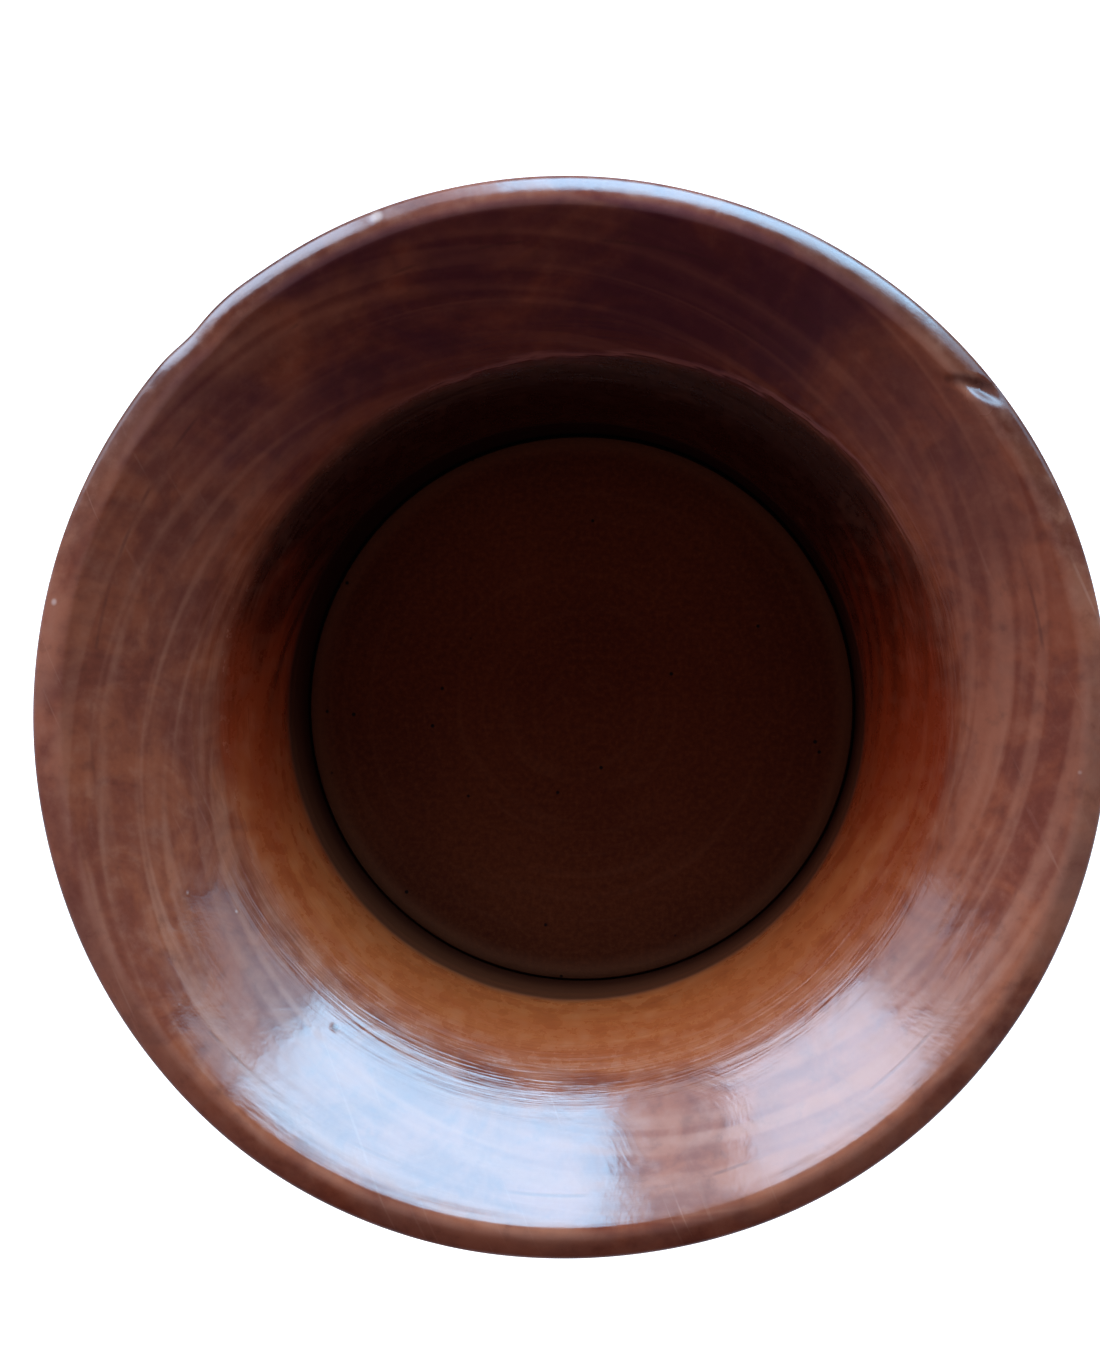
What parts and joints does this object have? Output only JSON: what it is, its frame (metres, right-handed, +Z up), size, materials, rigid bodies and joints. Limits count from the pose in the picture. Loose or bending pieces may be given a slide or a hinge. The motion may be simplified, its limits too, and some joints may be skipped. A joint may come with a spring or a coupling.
{
  "type": "pour over dripper",
  "caption": "Thrown, brown-glazed stoneware pour over dripper with a trumpet mouth, a saucer, a locating ring and a porous filter disc that lifts out of its well.",
  "frame": {"origin": "centre of the circle that the locating ring stands on", "axes": "+Z up along the dripper's axis, from the locating ring to the rim; +X and +Y are level, and one disc rest lies on +Y"},
  "size_m": [0.1204, 0.1204, 0.08],
  "materials": {
    "brown_glaze": "glossy iron-brown glaze, streaked and mottled, paler where it breaks over edges",
    "well_glaze": "glossy iron-brown glaze, orange-brown on the throat and darker below",
    "bare_clay": "bare, fired, toasted stoneware with fine grog",
    "porous_clay": "matte, near-black brown, unglazed and finely turned"
  },
  "bodies": {
    "dripper": {"flared_collar": "brown_glaze", "filter_well": "well_glaze", "saucer_flange": "brown_glaze", "locating_ring": "bare_clay", "vent_lug_1": "bare_clay", "vent_lug_2": "bare_clay", "vent_lug_3": "bare_clay", "disc_rest_1": "well_glaze", "disc_rest_2": "well_glaze", "disc_rest_3": "well_glaze"},
    "loose_disc": {"filter_disc": "porous_clay"}
  },
  "joints": [
    {"name": "disc_lift", "type": "slide", "parent": "dripper", "child": "loose_disc", "axis": [0, 0, 1], "range_m": [0, 0.06]}
  ]
}
